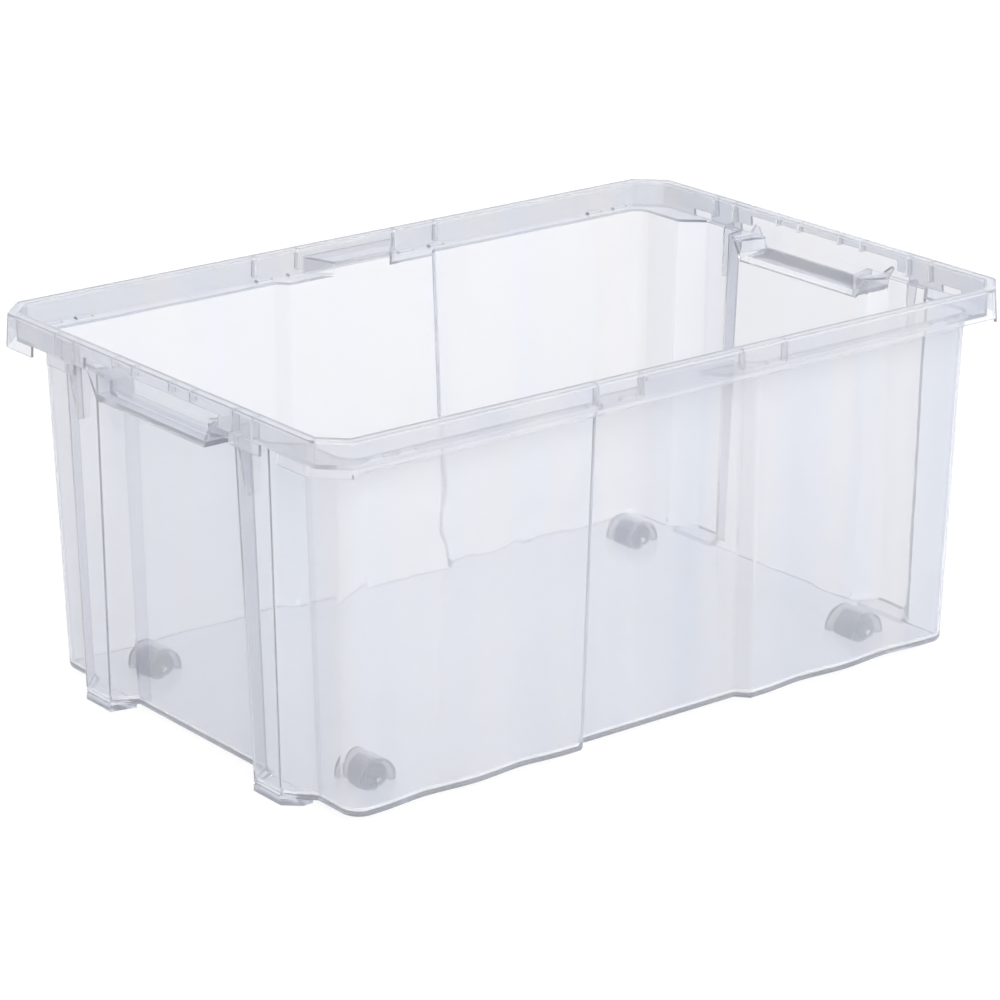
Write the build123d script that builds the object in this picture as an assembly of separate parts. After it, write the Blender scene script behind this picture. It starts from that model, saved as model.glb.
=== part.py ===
from build123d import *
import os

os.makedirs("parts", exist_ok=True)

# Stackable storage bin on four rollers, millimetres.
# Origin: centre of the footprint on the floor plane. X runs along the long
# side, Y along the short side, Z up. The rollers touch the floor at Z = 0.

# overall size at the rim
LENGTH = 600.0
WIDTH = 400.0
HEIGHT = 272.0

# moulded wall
WALL = 2.4
FLOOR_UNDERSIDE = 6.0
FLOOR_THICK = 2.6
FOOT_UNDERSIDE = 2.0

# rim: an inverted channel with an outer skirt, an inner band and a ledge
RIM_CORNER = 21.0
RIM_ROUND = 6.0
RIM_EDGE_RADIUS = 0.9
SKIRT_FLARE = 1.4
CHANNEL_WIDTH = 10.0
TOP_THICK = 2.2
SKIRT_THICK = 2.0
BAND_THICK = 2.2
SKIRT_DROP = 21.0
SKIRT_DROP_CORNER = 24.0
SKIRT_DROP_SHORT_SIDE = 16.0
SKIRT_CORNER_HALF = 146.0
SKIRT_TAB = (92.0, 126.0)
LEDGE_Z = HEIGHT - 18.0
LEDGE_THICK = 2.4

# tub outline, half-sizes of the outer face: at the floor and under the ledge
SHORT_FACE = (266.0, 272.5)
PILLAR_FACE = (283.0, 289.0)
LONG_FACE = (177.0, 182.6)
PANEL_FACE = (168.0, 174.5)
PILLAR_INNER_FOOT = (77.0, 76.0)
PILLAR_INNER_EDGE = (87.0, 80.5)
PILLAR_OUTER_EDGE = (118.0, 120.5)
PILLAR_OUTER_FOOT = (136.0, 136.0)
PANEL_OUTER_EDGE = (76.0, 71.0)
PANEL_INNER_EDGE = (68.0, 64.0)
CREST_X = (246.0, 165.0, 86.0)
TROUGH_X = (207.0, 124.0)
FLUTE_DEPTH = (3.0, 0.5)
CORNER_RADIUS = 14.0
CREASE_RADIUS = 3.6
OUTER_TOE = ((0.0, 2.2), (0.8, 0.8), (2.6, 0.0))
INNER_TOE = ((0.0, 4.0), (1.2, 1.6), (4.0, 0.0))

# hand grips in the short sides
GRIP_CUT_HALF = 80.0
GRIP_CUT_Z = HEIGHT - 8.0
GRIP_HALF_OUTER = 56.0
GRIP_HALF_INNER = 62.0
GRIP_BAND_Z = HEIGHT - 27.0
GRIP_RAMP_Z = HEIGHT - 34.0
LIP_HALF_LOW = 64.0
LIP_HALF_HIGH = 76.0
LIP_Z = (HEIGHT - 34.0, HEIGHT - 29.4)

# raised block in the middle of each long rim
BLOCK_HALF_OUTER = 42.0
BLOCK_HALF_INNER = 26.0
BLOCK_Z_OUTER = HEIGHT - 6.0
BLOCK_Z_INNER = HEIGHT - 9.0

# small parts of the rim
RIB_THICK = 2.0
SHORT_RIBS = (22.0, 46.0, 95.0, 117.0)
LONG_RIBS = (44.0, 82.0)
LUG_X = (50.0, 78.0, 231.0, 256.0)
LUG_SIZE = (13.0, 5.0, 1.8)
GUSSET_Y = 100.5
GUSSET_FOOT_Z = HEIGHT - 58.0
GUSSET_FOOT_DEPTH = 5.0

# rollers, their pins and the domes that hold them
ROLLER_X = 220.0
ROLLER_Y = 126.0
ROLLER_RADIUS = 11.0
ROLLER_WIDTH = 22.0
TREAD_WIDTH = 17.0
BOSS_RADIUS = 7.2
PIN_RADIUS = 2.0
PIN_RUNNING_GAP = 0.06
DOME_GAP = 1.6
DOME_END_GAP = 1.0
DOME_WALL = 2.2
PIN_SLOT = 3.4


def level(pair, z):
    """Value at height z of a size given at the floor and under the ledge."""
    share = (z - FLOOR_UNDERSIDE) / (LEDGE_Z - FLOOR_UNDERSIDE)
    return pair[0] + (pair[1] - pair[0]) * share


def quarter_outline(z):
    """Outer corners of one quarter at height z, from the short side round to
    the long side. The third value says how the corner is finished."""
    face, pillar = level(SHORT_FACE, z), level(PILLAR_FACE, z)
    long_face, panel = level(LONG_FACE, z), level(PANEL_FACE, z)
    hollow = long_face - level(FLUTE_DEPTH, z)
    points = [
        (face, level(PILLAR_INNER_FOOT, z), "crease"),
        (pillar, level(PILLAR_INNER_EDGE, z), "crease"),
        (pillar, level(PILLAR_OUTER_EDGE, z), "crease"),
        (face, level(PILLAR_OUTER_FOOT, z), "crease"),
        (face, long_face, "corner"),
    ]
    for crest, trough in zip(CREST_X, TROUGH_X):
        points.append((crest, long_face, "flute"))
        points.append((trough, hollow, "flute"))
    points.append((CREST_X[-1], long_face, "flute"))
    points.append((level(PANEL_OUTER_EDGE, z), long_face, "crease"))
    points.append((level(PANEL_INNER_EDGE, z), panel, "crease"))
    return points


def full_outline(z):
    """Outer corners all round the tub at height z, anticlockwise."""
    first = quarter_outline(z)
    second = [(-x, y, kind) for x, y, kind in reversed(first)]
    third = [(-x, -y, kind) for x, y, kind in first]
    fourth = [(x, -y, kind) for x, y, kind in reversed(first)]
    return first + second + third + fourth


def unit(start, end):
    """Direction from one point to another."""
    dx, dy = end[0] - start[0], end[1] - start[1]
    size = (dx * dx + dy * dy) ** 0.5
    return dx / size, dy / size


def inset_outline(points, inset):
    """The outline moved inwards, with the turn at each corner (positive where
    the outline bulges outwards)."""
    moved = []
    for i, (x, y, kind) in enumerate(points):
        ahead = unit(points[i], points[(i + 1) % len(points)])
        behind = unit(points[i - 1], points[i])
        normal_a, normal_b = (-ahead[1], ahead[0]), (-behind[1], behind[0])
        cosine = normal_a[0] * normal_b[0] + normal_a[1] * normal_b[1]
        turn = behind[0] * ahead[1] - behind[1] * ahead[0]
        shift_x = inset * (normal_a[0] + normal_b[0]) / (1 + cosine)
        shift_y = inset * (normal_a[1] + normal_b[1]) / (1 + cosine)
        moved.append((x + shift_x, y + shift_y, kind, turn))
    return moved


def rounded_corner(points, i, inset):
    """Start, middle and end of the arc that rounds corner i."""
    x, y, kind, turn = points[i]
    ahead = unit((x, y), points[(i + 1) % len(points)])
    behind = unit((x, y), points[i - 1])
    radius = CORNER_RADIUS if kind == "corner" else CREASE_RADIUS
    radius = radius - inset if turn > 0 else radius - WALL + inset
    radius = max(radius, 0.8)
    half_open = ((1 + ahead[0] * behind[0] + ahead[1] * behind[1]) / 2) ** 0.5
    half_turn = (1 - half_open ** 2) ** 0.5
    reach = radius * half_open / half_turn
    start = (x + behind[0] * reach, y + behind[1] * reach)
    end = (x + ahead[0] * reach, y + ahead[1] * reach)
    bisector = unit((0, 0), (ahead[0] + behind[0], ahead[1] + behind[1]))
    drop = radius / half_turn - radius
    return start, (x + bisector[0] * drop, y + bisector[1] * drop), end


def tub_face(z, inset):
    """Closed outline of the tub at height z, moved inwards by the inset."""
    points = inset_outline(full_outline(z), inset)
    edges = []
    here = None
    flute = []
    first = None
    for i, (x, y, kind, turn) in enumerate(points):
        if kind == "flute":
            if here:
                edges.append(Line((*here, z), (x, y, z)).edge())
                here = None
            flute.append((x, y, z))
            continue
        start, middle, end = rounded_corner(points, i, inset)
        if flute:
            along = (flute[1][0] - flute[0][0]) / abs(flute[1][0] - flute[0][0])
            edges.append(Spline(*flute, tangents=[(along, 0, 0), (along, 0, 0)]).edge())
            here = flute[-1][:2]
            flute = []
        if here:
            edges.append(Line((*here, z), (*start, z)).edge())
        first = first or start
        edges.append(ThreePointArc((*start, z), (*middle, z), (*end, z)).edge())
        here = end
    edges.append(Line((*here, z), (*first, z)).edge())
    return Face(Wire(edges))


def tub_solid(sections):
    """Solid block through sections of (height, inset)."""
    return loft([tub_face(z, inset) for z, inset in sections], ruled=True)


def rim_sketch(inset):
    """Rim outline with cut and rounded corners, moved inwards by the inset."""
    outline = Rectangle(LENGTH - 2 * inset, WIDTH - 2 * inset)
    outline = chamfer(outline.vertices(), RIM_CORNER - inset * (2 - 2 ** 0.5))
    return fillet(outline.vertices(), max(RIM_ROUND - inset * 0.4, 1.0))


def rim_ring(outer_inset, inner_inset, z_low, z_high):
    """Upright wall that follows the rim between two insets."""
    ring = rim_sketch(outer_inset) - rim_sketch(inner_inset)
    return extrude(Pos(0, 0, z_low) * ring, z_high - z_low)


def box_at(x_range, y_range, z_range):
    """Box between three pairs of limits."""
    size = [high - low for low, high in (x_range, y_range, z_range)]
    centre = [(high + low) / 2 for low, high in (x_range, y_range, z_range)]
    return Pos(*centre) * Box(*size)


def prism_xz(points, y_low, y_high):
    """Profile drawn in the XZ plane and carried along Y."""
    profile = make_face(Polyline([(x, y_low, z) for x, z in points], close=True))
    return extrude(profile, y_high - y_low, dir=(0, 1, 0))


def prism_yz(points, x_low, x_high):
    """Profile drawn in the YZ plane and carried along X."""
    profile = make_face(Polyline([(x_low, y, z) for y, z in points], close=True))
    return extrude(profile, x_high - x_low, dir=(1, 0, 0))


def prism_xy(points, z_low, z_high):
    """Profile drawn in the XY plane and carried upwards."""
    profile = make_face(Polyline([(x, y, z_low) for x, y in points], close=True))
    return extrude(profile, z_high - z_low, dir=(0, 0, 1))


def both_ends(shape):
    """The shape and its mirror image at the other short side."""
    return shape + mirror(shape, Plane.YZ)


def both_sides(shape):
    """The shape and its mirror image at the other long side."""
    return shape + mirror(shape, Plane.XZ)


def flared_block(inset):
    """Block inside the skirt's surface, moved inwards by the inset: upright at
    its foot and drawn in towards the top."""
    sections = [(HEIGHT - SKIRT_DROP_CORNER, 0), (HEIGHT - SKIRT_DROP, 0), (HEIGHT - TOP_THICK, SKIRT_FLARE)]
    return loft([Pos(0, 0, z) * rim_sketch(inset + drawn) for z, drawn in sections], ruled=True)


def rim():
    """Top flange, skirt, inner band and ledge, before the grips are cut."""
    skirt_in = SKIRT_THICK + SKIRT_FLARE
    band_out = CHANNEL_WIDTH - BAND_THICK
    shape = rim_ring(SKIRT_FLARE, CHANNEL_WIDTH, HEIGHT - TOP_THICK, HEIGHT)
    shape = fillet(shape.edges().group_by(Axis.Z)[-1], RIM_EDGE_RADIUS)
    shape += flared_block(0) - flared_block(SKIRT_THICK)
    shape += rim_ring(band_out, CHANNEL_WIDTH, LEDGE_Z - LEDGE_THICK, HEIGHT - TOP_THICK / 2)
    ledge = extrude(Pos(0, 0, LEDGE_Z - LEDGE_THICK) * rim_sketch(band_out), LEDGE_THICK)
    shape += ledge - tub_solid([(LEDGE_Z - 6, WALL / 2), (LEDGE_Z + 1, WALL / 2)])
    # the skirt hangs lowest round the corners and in a tab beside each grip
    strip = (LENGTH / 2 - skirt_in - 0.5, LENGTH / 2 + 1)
    low = HEIGHT - SKIRT_DROP_CORNER - 1
    short_z = (low, HEIGHT - SKIRT_DROP_SHORT_SIDE)
    tab_in, tab_out = SKIRT_TAB
    cuts = both_sides(box_at(strip, (tab_out, SKIRT_CORNER_HALF), short_z))
    cuts += box_at(strip, (-tab_in, tab_in), short_z)
    cuts += box_at(strip, (-GRIP_CUT_HALF, GRIP_CUT_HALF), (low, GRIP_CUT_Z))
    reach = LENGTH / 2 - RIM_CORNER
    side_y = (WIDTH / 2 - SKIRT_THICK - 0.5, WIDTH / 2 + 1)
    long_cut = box_at((-reach, reach), side_y, (low, HEIGHT - SKIRT_DROP))
    return shape - both_ends(cuts) - both_sides(long_cut)


def grip_prism(grow):
    """Space swept by one hand grip recess, made larger all round by grow."""
    x_in = SHORT_FACE[1] - WALL - 4
    x_out = LENGTH / 2 - CHANNEL_WIDTH + grow
    top = LEDGE_Z + 0.5 - grow
    wall_x = SHORT_FACE[1] - WALL
    profile = [(x_in, top), (x_out, top), (x_out, GRIP_BAND_Z - grow), (wall_x, GRIP_RAMP_Z - grow)]
    profile.append((x_in, GRIP_RAMP_Z - grow))
    reach = GRIP_HALF_INNER + 10
    swept = prism_xz(profile, -reach, reach)
    inner = GRIP_HALF_INNER + grow
    outer = GRIP_HALF_OUTER + grow
    plan = [(x_in, -inner), (wall_x, -inner), (x_out, -outer), (x_out, outer), (wall_x, inner), (x_in, inner)]
    return swept & prism_xy(plan, GRIP_RAMP_Z - 20, HEIGHT)


def lip_outline(wall, top):
    """Tray shape of the lip seen from the end, with sides that lean outwards;
    wall is how far it is moved inwards."""
    low = LIP_Z[0] + wall
    half_low, half_high = LIP_HALF_LOW - wall, LIP_HALF_HIGH - wall
    return [(-half_low, low), (half_low, low), (half_high, top), (-half_high, top)]


def grip_lip():
    """Shelf under one grip, with a leaning plate up to the skirt at each end."""
    wall_x = SHORT_FACE[1] - WALL / 2
    outer = LENGTH / 2
    top = HEIGHT - SKIRT_DROP_SHORT_SIDE + 2
    tray = prism_yz(lip_outline(0, top), wall_x, outer)
    tray -= prism_yz(lip_outline(RIB_THICK, top + 1), wall_x - 1, outer + 1)
    tray += box_at((wall_x, outer), (-LIP_HALF_LOW, LIP_HALF_LOW), LIP_Z)
    side = [(wall_x, LIP_Z[0]), (outer, LIP_Z[0]), (outer, GRIP_CUT_Z - 8), (outer - SKIRT_THICK, top)]
    side += [(outer - CHANNEL_WIDTH, LEDGE_Z - 1), (wall_x, LEDGE_Z - 1)]
    return tray & prism_xz(side, -LIP_HALF_HIGH, LIP_HALF_HIGH)


def rim_block(shrink):
    """Raised block in the middle of one long rim, on the +Y side."""
    y_in = PANEL_FACE[1] - WALL + shrink
    y_out = WIDTH / 2 - CHANNEL_WIDTH + 1
    outer = BLOCK_HALF_OUTER - shrink
    inner = BLOCK_HALF_INNER - shrink * 0.6
    plan = [(-outer, y_out), (outer, y_out), (inner, y_in), (-inner, y_in)]
    z_low = LEDGE_Z - LEDGE_THICK - shrink
    side = [(y_in, z_low), (y_out, z_low), (y_out, BLOCK_Z_OUTER - shrink), (y_in, BLOCK_Z_INNER - shrink)]
    return prism_xy(plan, z_low, HEIGHT) & prism_yz(side, -outer, outer)


def rim_ribs():
    """Thin plates inside the rim channel, the lugs on the ledge and the
    wedges that steady the skirt corners."""
    low = HEIGHT - SKIRT_DROP_SHORT_SIDE
    x_range = (LENGTH / 2 - CHANNEL_WIDTH + 1, LENGTH / 2 - 1)
    shape = None
    for y in SHORT_RIBS:
        z_low = GRIP_CUT_Z if y < GRIP_CUT_HALF else low
        rib = box_at(x_range, (y - RIB_THICK / 2, y + RIB_THICK / 2), (z_low, HEIGHT - 1))
        shape = rib if shape is None else shape + rib
    wall_x = PILLAR_FACE[1] - 1.6
    wedge = [(wall_x, GUSSET_FOOT_Z), (wall_x + GUSSET_FOOT_DEPTH, GUSSET_FOOT_Z),
             (x_range[1] - 0.5, LEDGE_Z), (wall_x, LEDGE_Z)]
    shape += prism_xz(wedge, GUSSET_Y - RIB_THICK / 2, GUSSET_Y + RIB_THICK / 2)
    shape = both_ends(both_sides(shape))
    y_range = (WIDTH / 2 - CHANNEL_WIDTH + 1, WIDTH / 2 - 1)
    length, depth, rise = LUG_SIZE
    side = None
    for x in LONG_RIBS:
        rib = box_at((x - RIB_THICK / 2, x + RIB_THICK / 2), y_range, (low, HEIGHT - 1))
        side = rib if side is None else side + rib
    for x in LUG_X:
        back = WIDTH / 2 - CHANNEL_WIDTH + 0.5
        side += box_at((x - length / 2, x + length / 2), (back - depth, back), (LEDGE_Z - 1, LEDGE_Z + rise))
    return shape + both_ends(both_sides(side))


def feet():
    """Low feet under the four pillars."""
    face = SHORT_FACE[0] - 2
    plan = [(face, PILLAR_INNER_FOOT[0] + 6), (PILLAR_FACE[0], PILLAR_INNER_EDGE[0]),
            (PILLAR_FACE[0], PILLAR_OUTER_EDGE[0]), (face + 8, PILLAR_OUTER_FOOT[0] - 8),
            (face, PILLAR_OUTER_FOOT[0] - 8)]
    foot = prism_xy(plan, FOOT_UNDERSIDE, FLOOR_UNDERSIDE + 0.5)
    return both_ends(both_sides(foot))


def capsule(radius, width, base_z):
    """Half-round tunnel across Y, standing on base_z."""
    tunnel = Pos(0, 0, ROLLER_RADIUS) * Rot(90, 0, 0) * Cylinder(radius, width)
    foot = box_at((-radius, radius), (-width / 2, width / 2), (base_z, ROLLER_RADIUS))
    low = box_at((-radius, radius), (-width / 2, width / 2), (base_z - 50, base_z))
    return tunnel + foot - low


def roller_places():
    """Centres of the four rollers in plan, with the name of each place."""
    return {
        "front_left": (-ROLLER_X, -ROLLER_Y),
        "front_right": (ROLLER_X, -ROLLER_Y),
        "rear_left": (-ROLLER_X, ROLLER_Y),
        "rear_right": (ROLLER_X, ROLLER_Y),
    }


def dome_outer():
    """Outside of one roller dome."""
    radius = ROLLER_RADIUS + DOME_GAP + DOME_WALL
    width = ROLLER_WIDTH + 2 * (DOME_END_GAP + DOME_WALL)
    dome = capsule(radius, width, FLOOR_UNDERSIDE)
    ends = dome.faces().sort_by(Axis.Y)
    return fillet(ends[0].edges().filter_by(GeomType.CIRCLE) + ends[-1].edges().filter_by(GeomType.CIRCLE), 1.8)


def dome_inner():
    """Roller space, pin holes and the slots the pin snaps in through."""
    radius = ROLLER_RADIUS + DOME_GAP
    width = ROLLER_WIDTH + 2 * DOME_END_GAP
    reach = width + 2 * DOME_WALL
    space = capsule(radius, width, FLOOR_UNDERSIDE - 2)
    holes = Pos(0, 0, ROLLER_RADIUS) * Rot(90, 0, 0) * Cylinder(PIN_RADIUS, reach + 2)
    slot = box_at((-PIN_SLOT / 2, PIN_SLOT / 2), (-reach / 2 - 1, reach / 2 + 1), (FLOOR_UNDERSIDE - 2, ROLLER_RADIUS))
    return space + holes + slot


def pin_length():
    """Length of a pin: flush with the outside of the dome."""
    return ROLLER_WIDTH + 2 * (DOME_END_GAP + DOME_WALL)


def bin_body():
    """The whole moulded tub as one piece."""
    toe = [(FLOOR_UNDERSIDE + rise, inset) for rise, inset in OUTER_TOE]
    outer = tub_solid(toe + [(LEDGE_Z, 0)])
    body = outer + feet() + rim() + rim_ribs() + both_ends(grip_prism(WALL) + grip_lip())
    body += both_sides(rim_block(0))
    floor_top = FLOOR_UNDERSIDE + FLOOR_THICK
    toe = [(floor_top + rise, WALL + inset) for rise, inset in INNER_TOE]
    inside = tub_solid(toe + [(LEDGE_Z + 4, WALL)])
    body -= inside + both_ends(grip_prism(0))
    body -= both_sides(rim_block(2.2) - inside)
    for x, y in roller_places().values():
        body += Pos(x, y, 0) * dome_outer()
    for x, y in roller_places().values():
        body -= Pos(x, y, 0) * dome_inner()
    return body


def roller():
    """Roller with rounded rims, a boss at each end and a bore for the pin."""
    tread = Cylinder(ROLLER_RADIUS, TREAD_WIDTH)
    tread = fillet(tread.edges().filter_by(GeomType.CIRCLE), 1.2)
    boss = Cylinder(BOSS_RADIUS, ROLLER_WIDTH)
    boss = fillet(boss.edges().filter_by(GeomType.CIRCLE), 0.6)
    wheel = Rot(90, 0, 0) * (tread + boss)
    bore = Rot(90, 0, 0) * Cylinder(PIN_RADIUS + PIN_RUNNING_GAP, ROLLER_WIDTH + 2)
    return wheel - bore


def pin():
    """Straight pin that carries one roller."""
    bar = Rot(90, 0, 0) * Cylinder(PIN_RADIUS, pin_length())
    return chamfer(bar.edges().filter_by(GeomType.CIRCLE), 0.4)


def main():
    """Make every piece and save it."""
    export_step(bin_body(), "parts/bin_body.step")
    for name, (x, y) in roller_places().items():
        place = Pos(x, y, ROLLER_RADIUS)
        export_step(place * roller(), "parts/roller_" + name + ".step")
        export_step(place * pin(), "parts/pin_" + name + ".step")


main()
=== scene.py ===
import math

import bpy
from mathutils import Matrix, Vector


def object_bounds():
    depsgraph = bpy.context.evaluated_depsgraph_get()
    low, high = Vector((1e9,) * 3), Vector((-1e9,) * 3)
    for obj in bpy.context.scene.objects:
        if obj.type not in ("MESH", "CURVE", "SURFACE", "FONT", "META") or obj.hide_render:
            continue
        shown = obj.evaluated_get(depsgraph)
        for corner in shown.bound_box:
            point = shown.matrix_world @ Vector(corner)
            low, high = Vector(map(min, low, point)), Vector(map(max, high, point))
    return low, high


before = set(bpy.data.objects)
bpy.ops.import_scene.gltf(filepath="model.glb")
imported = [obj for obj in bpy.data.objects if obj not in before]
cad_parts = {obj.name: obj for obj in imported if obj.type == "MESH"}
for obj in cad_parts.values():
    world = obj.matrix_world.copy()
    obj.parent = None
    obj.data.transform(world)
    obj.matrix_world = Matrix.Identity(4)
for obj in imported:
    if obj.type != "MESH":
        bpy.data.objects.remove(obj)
cad_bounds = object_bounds()

# camera: direction of view, and where the optical axis passes the rim's centre
CAMERA_AZIMUTH = math.radians(38.08)
CAMERA_ELEVATION = math.radians(19.08)
CAMERA_DISTANCE = 2.698
CAMERA_ASIDE = 0.0063
CAMERA_BELOW = 0.1427
CAMERA_LENS = 139.3

# studio
FLOOR_HALF = 12.0
WORLD_STRENGTH = 1.0
LIGHTS = {
    "key": ((-0.8, -2.9, 2.6), 2.5, 112),
    "fill": ((2.9, -1.2, 2.2), 2.5, 36),
}

# see-through plastic
PLASTIC_IOR = 1.40
FLOW_STRETCH = (1, 1, 0.06)
HAZE_WARM = (0.89, 0.885, 0.90)
HAZE_COOL = (0.84, 0.86, 0.905)
# painted shade: haze colour made darker and bluer where the wall is seen aslant, standing in for the dark edge
# and crease lines
SLANT_HAZE_AND_SHADE = (0.64, 0.67, 0.75)
CLARITY_SLANT = 0.62


def add_camera():
    """Camera at the viewing angle of the reference view."""
    sin_a, cos_a = math.sin(CAMERA_AZIMUTH), math.cos(CAMERA_AZIMUTH)
    sin_e, cos_e = math.sin(CAMERA_ELEVATION), math.cos(CAMERA_ELEVATION)
    forward = Vector((sin_a * cos_e, cos_a * cos_e, -sin_e))
    right = Vector((cos_a, -sin_a, 0))
    down = forward.cross(right)
    rim_top = Vector((0, 0, cad_bounds[1][2]))
    place = rim_top - forward * CAMERA_DISTANCE - right * CAMERA_ASIDE + down * CAMERA_BELOW
    data = bpy.data.cameras.new("camera")
    data.sensor_width = 36
    data.lens = CAMERA_LENS
    data.clip_end = 60
    camera = bpy.data.objects.new("camera", data)
    rotation = Matrix((right, -down, -forward)).transposed()
    camera.matrix_world = Matrix.Translation(place) @ rotation.to_4x4()
    bpy.context.scene.collection.objects.link(camera)
    bpy.context.scene.camera = camera


def new_material(name):
    """Material with a Principled shader: its tree and the shader node."""
    material = bpy.data.materials.new(name)
    material.use_nodes = True
    return material, material.node_tree, material.node_tree.nodes["Principled BSDF"]


def add_noise(tree, scale, detail, stretch=(1, 1, 1)):
    """Noise over the object's own coordinates, in metres."""
    coordinates = tree.nodes.new("ShaderNodeTexCoord")
    mapping = tree.nodes.new("ShaderNodeMapping")
    mapping.inputs["Scale"].default_value = stretch
    noise = tree.nodes.new("ShaderNodeTexNoise")
    noise.inputs["Scale"].default_value = scale
    noise.inputs["Detail"].default_value = detail
    tree.links.new(coordinates.outputs["Object"], mapping.inputs["Vector"])
    tree.links.new(mapping.outputs["Vector"], noise.inputs["Vector"])
    return noise.outputs["Fac"]


def add_range(tree, source, low, high, socket):
    """Noise stretched to a range and led into a shader socket."""
    spread = tree.nodes.new("ShaderNodeMapRange")
    spread.inputs["From Min"].default_value = 0.3
    spread.inputs["From Max"].default_value = 0.7
    spread.inputs["To Min"].default_value = low
    spread.inputs["To Max"].default_value = high
    tree.links.new(source, spread.inputs["Value"])
    tree.links.new(spread.outputs["Result"], socket)


def add_ramp(tree, source, low, high, socket):
    """Noise turned into a mix of two colours and led into a shader socket."""
    ramp = tree.nodes.new("ShaderNodeValToRGB")
    ramp.color_ramp.elements[0].position = 0.3
    ramp.color_ramp.elements[0].color = (*low, 1)
    ramp.color_ramp.elements[1].position = 0.7
    ramp.color_ramp.elements[1].color = (*high, 1)
    tree.links.new(source, ramp.inputs["Fac"])
    tree.links.new(ramp.outputs["Color"], socket)


def add_bump(tree, shader, layers):
    """Bump made of several layers of (height source, depth in metres)."""
    normal = None
    for source, depth in layers:
        bump = tree.nodes.new("ShaderNodeBump")
        bump.inputs["Distance"].default_value = depth
        tree.links.new(source, bump.inputs["Height"])
        if normal:
            tree.links.new(normal, bump.inputs["Normal"])
        normal = bump.outputs["Normal"]
    tree.links.new(normal, shader.inputs["Normal"])


def add_slant(tree, start):
    """How far past a start angle the surface is seen aslant, from 0 to 1."""
    weight = tree.nodes.new("ShaderNodeLayerWeight")
    spread = tree.nodes.new("ShaderNodeMapRange")
    spread.inputs["From Min"].default_value = start
    tree.links.new(weight.outputs["Facing"], spread.inputs["Value"])
    return spread.outputs["Result"]


def clear_plastic():
    """Natural see-through polypropylene: clear with a milky haze in upright
    flow streaks. Where the wall is seen aslant the haze thickens, and its
    colour is painted darker and bluer there as painted shade for the dark
    edge and crease lines. Thick edges take up more light."""
    material, tree, shader = new_material("clear_plastic")
    shader.inputs["IOR"].default_value = PLASTIC_IOR
    streaks = add_noise(tree, 22, 2, FLOW_STRETCH)
    # slant mask: drives the thicker haze (real) and the painted shade in the colour where the wall is seen
    # aslant
    slant = add_slant(tree, 0.28)
    haze_and_shade_tint = tree.nodes.new("ShaderNodeMix")
    haze_and_shade_tint.data_type = "RGBA"
    tree.links.new(slant, haze_and_shade_tint.inputs["Factor"])
    add_ramp(tree, streaks, HAZE_WARM, HAZE_COOL, haze_and_shade_tint.inputs[6])
    # painted shade: colour mixed towards the darker, bluer slant colour where the wall is seen aslant
    haze_and_shade_tint.inputs[7].default_value = (*SLANT_HAZE_AND_SHADE, 1)
    tree.links.new(haze_and_shade_tint.outputs[2], shader.inputs["Base Color"])
    clarity = tree.nodes.new("ShaderNodeMix")
    tree.links.new(slant, clarity.inputs["Factor"])
    add_range(tree, streaks, 0.82, 0.87, clarity.inputs[2])
    clarity.inputs[3].default_value = CLARITY_SLANT
    tree.links.new(clarity.outputs[0], shader.inputs["Transmission Weight"])
    add_range(tree, add_noise(tree, 60, 3), 0.012, 0.035, shader.inputs["Roughness"])
    waves = add_noise(tree, 14, 1, (1, 1, 0.4))
    grain = add_noise(tree, 700, 2)
    add_bump(tree, shader, [(waves, 0.0003), (grain, 0.000004)])
    absorb = tree.nodes.new("ShaderNodeVolumeAbsorption")
    absorb.inputs["Color"].default_value = (0.60, 0.66, 0.80, 1)
    absorb.inputs["Density"].default_value = 8
    tree.links.new(absorb.outputs["Volume"], tree.nodes["Material Output"].inputs["Volume"])
    return material


def grey_plastic():
    """Matt grey roller plastic with a fine grain."""
    material, tree, shader = new_material("roller_plastic")
    add_ramp(tree, add_noise(tree, 300, 3), (0.09, 0.15, 0.30), (0.13, 0.20, 0.37), shader.inputs["Base Color"])
    add_range(tree, add_noise(tree, 500, 3), 0.38, 0.55, shader.inputs["Roughness"])
    add_bump(tree, shader, [(add_noise(tree, 1500, 2), 0.00004)])
    return material


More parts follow.
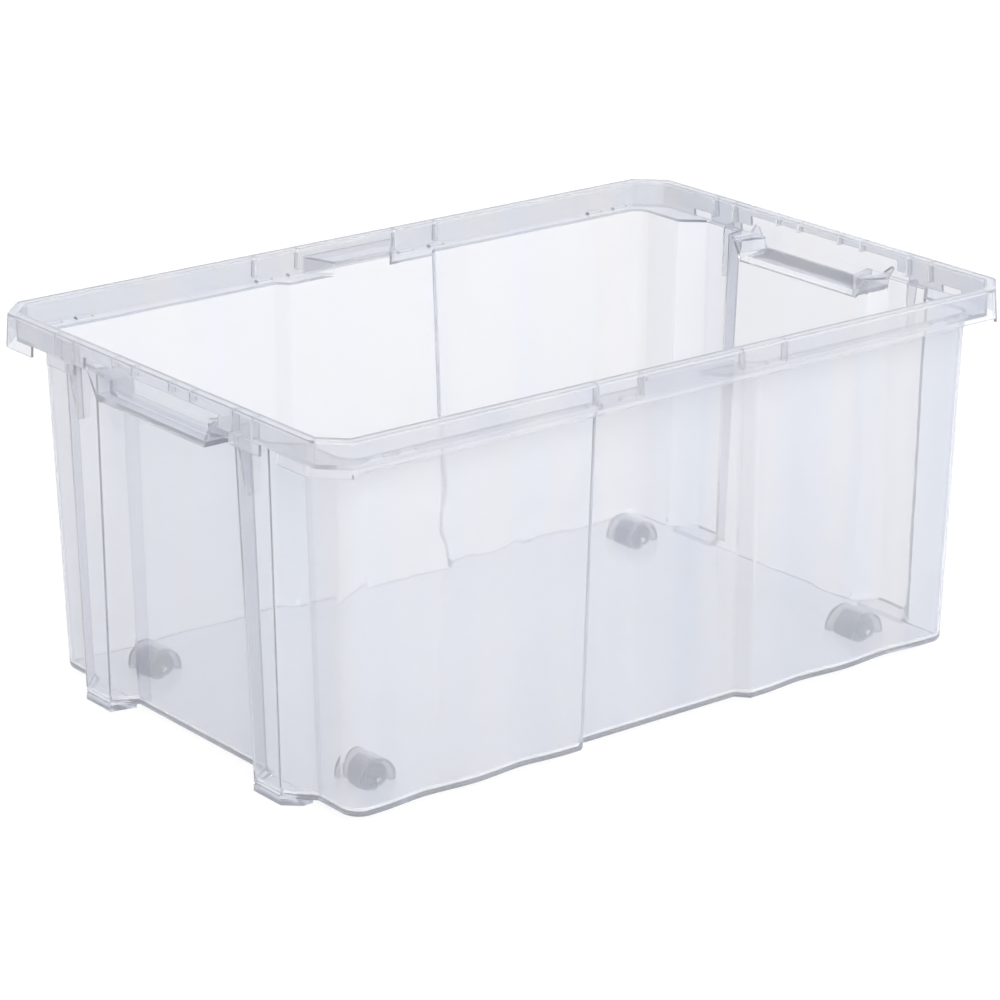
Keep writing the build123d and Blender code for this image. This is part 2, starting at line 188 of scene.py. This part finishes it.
def pin_steel():
    """Drawn steel pin with a fine grain."""
    material, tree, shader = new_material("pin_steel")
    shader.inputs["Metallic"].default_value = 1.0
    add_ramp(tree, add_noise(tree, 200, 3), (0.62, 0.63, 0.65), (0.78, 0.79, 0.80), shader.inputs["Base Color"])
    add_range(tree, add_noise(tree, 900, 2), 0.22, 0.38, shader.inputs["Roughness"])
    add_bump(tree, shader, [(add_noise(tree, 2500, 2), 0.00001)])
    return material


def floor_paint():
    """Plain pale floor that glows a little, like the base of a light tent."""
    material, tree, shader = new_material("studio_floor")
    shader.inputs["Base Color"].default_value = (0.15, 0.15, 0.15, 1)
    shader.inputs["Roughness"].default_value = 0.9
    shader.inputs["Specular IOR Level"].default_value = 0.0
    shader.inputs["Emission Color"].default_value = (1, 1, 1, 1)
    shader.inputs["Emission Strength"].default_value = 0.88
    return material


def add_studio():
    """White surroundings, a pale floor and two soft lights."""
    scene = bpy.context.scene
    scene.view_settings.view_transform = "Standard"
    world = bpy.data.worlds.new("studio")
    world.use_nodes = True
    background = world.node_tree.nodes["Background"]
    background.inputs["Color"].default_value = (1, 1, 1, 1)
    background.inputs["Strength"].default_value = WORLD_STRENGTH
    scene.world = world
    half = FLOOR_HALF
    mesh = bpy.data.meshes.new("studio_floor")
    corners = [(-half, -half, 0), (half, -half, 0), (half, half, 0), (-half, half, 0)]
    mesh.from_pydata(corners, [], [(0, 1, 2, 3)])
    mesh.materials.append(floor_paint())
    floor = bpy.data.objects.new("studio_floor", mesh)
    scene.collection.objects.link(floor)
    for name, (place, size, power) in LIGHTS.items():
        light = bpy.data.lights.new(name, "AREA")
        light.size = size
        light.energy = power
        lamp = bpy.data.objects.new(name, light)
        lamp.location = place
        lamp.rotation_euler = (-Vector(place)).to_track_quat("-Z", "Y").to_euler()
        scene.collection.objects.link(lamp)


def dress_nodes():
    """Give every CAD node its material."""
    clear, grey, steel = clear_plastic(), grey_plastic(), pin_steel()
    for name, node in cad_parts.items():
        kind = name.split("_")[0]
        material = {"bin": clear, "roller": grey, "pin": steel}[kind]
        for slot in node.material_slots:
            slot.material = material


add_camera()
add_studio()
dress_nodes()
